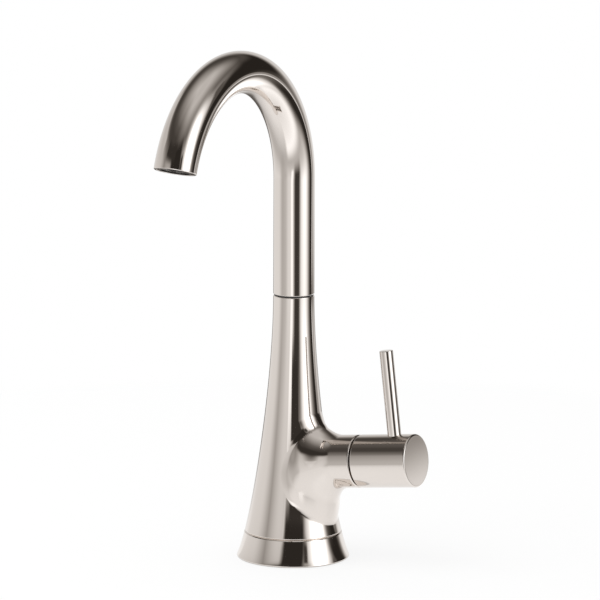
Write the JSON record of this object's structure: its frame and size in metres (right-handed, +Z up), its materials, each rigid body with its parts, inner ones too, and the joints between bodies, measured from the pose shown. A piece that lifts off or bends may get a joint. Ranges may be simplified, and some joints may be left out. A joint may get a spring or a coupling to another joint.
{
  "type": "cold water dispenser faucet",
  "caption": "Deck-mounted drinking-water faucet: flared column, swivelling gooseneck spout, side lever on a ceramic-disc valve, threaded shank clamped under the deck.",
  "frame": {"origin": "on the deck surface at the column's axis, in the middle of the base ring's underside", "axes": "+Z up along the column, spout towards -Y (the user), lever handle towards +X (the user's right)"},
  "size_m": [0.1076, 0.1647, 0.3633],
  "materials": {
    "polished_nickel": "mirror-polished nickel plating on brass",
    "brass": "machined brass",
    "black_rubber": "matt nitrile rubber",
    "dark_acetal": "moulded acetal",
    "white_acetal": "moulded acetal",
    "ceramic": "lapped alumina",
    "stainless_steel": "plain stainless steel"
  },
  "bodies": {
    "column": {"base_ring": "polished_nickel", "deck_gasket": "black_rubber", "column": "polished_nickel", "mounting_shank": "brass", "shank_seal": "black_rubber", "inlet_nipple": "brass", "inlet_washer": "black_rubber", "inlet_screen": "stainless_steel", "cartridge_seal": "black_rubber", "cartridge_body": "white_acetal", "cartridge_o_ring": "black_rubber", "fixed_disc": "ceramic", "bonnet_nut": "brass", "spout_grub_screw": "stainless_steel", "glide_ring": "dark_acetal"},
    "spout": {"spout_tube": "polished_nickel", "spout_spigot": "brass", "spout_o_ring_lower": "black_rubber", "spout_o_ring_upper": "black_rubber", "aerator_housing": "dark_acetal", "flow_straightener": "dark_acetal", "aerator_washer": "black_rubber"},
    "handle": {"handle_hub": "polished_nickel", "lever_rod": "polished_nickel", "handle_set_screw": "stainless_steel", "valve_stem": "brass", "moving_disc": "ceramic", "stem_o_ring": "black_rubber", "thrust_washer": "dark_acetal", "stem_clip": "stainless_steel"},
    "clamp": {"rubber_washer": "black_rubber", "clamp_washer": "stainless_steel"},
    "nut": {"mounting_nut": "brass"}
  },
  "joints": [
    {"name": "spout_swivel", "type": "hinge", "parent": "column", "child": "spout", "pos_m": [0, 0, 0.1439], "axis": [0, 0, 1], "continuous": true},
    {"name": "handle_turn", "type": "hinge", "parent": "column", "child": "handle", "pos_m": [0, 0, 0.0519], "axis": [0.9932, 0, 0.1167], "range_deg": [0, 90]},
    {"name": "clamp_travel", "type": "slide", "parent": "column", "child": "clamp", "axis": [0, 0, 1], "range_m": [-0.011, 0.025]},
    {"name": "nut_turn", "type": "hinge", "parent": "clamp", "child": "nut", "pos_m": [0, 0, -0.0395], "axis": [0, 0, 1], "range_deg": [-2180, 4960]}
  ],
  "couplings": [
    {"joint": "clamp_travel", "follows": "nut_turn", "m_per_rad": 0.00028871}
  ]
}
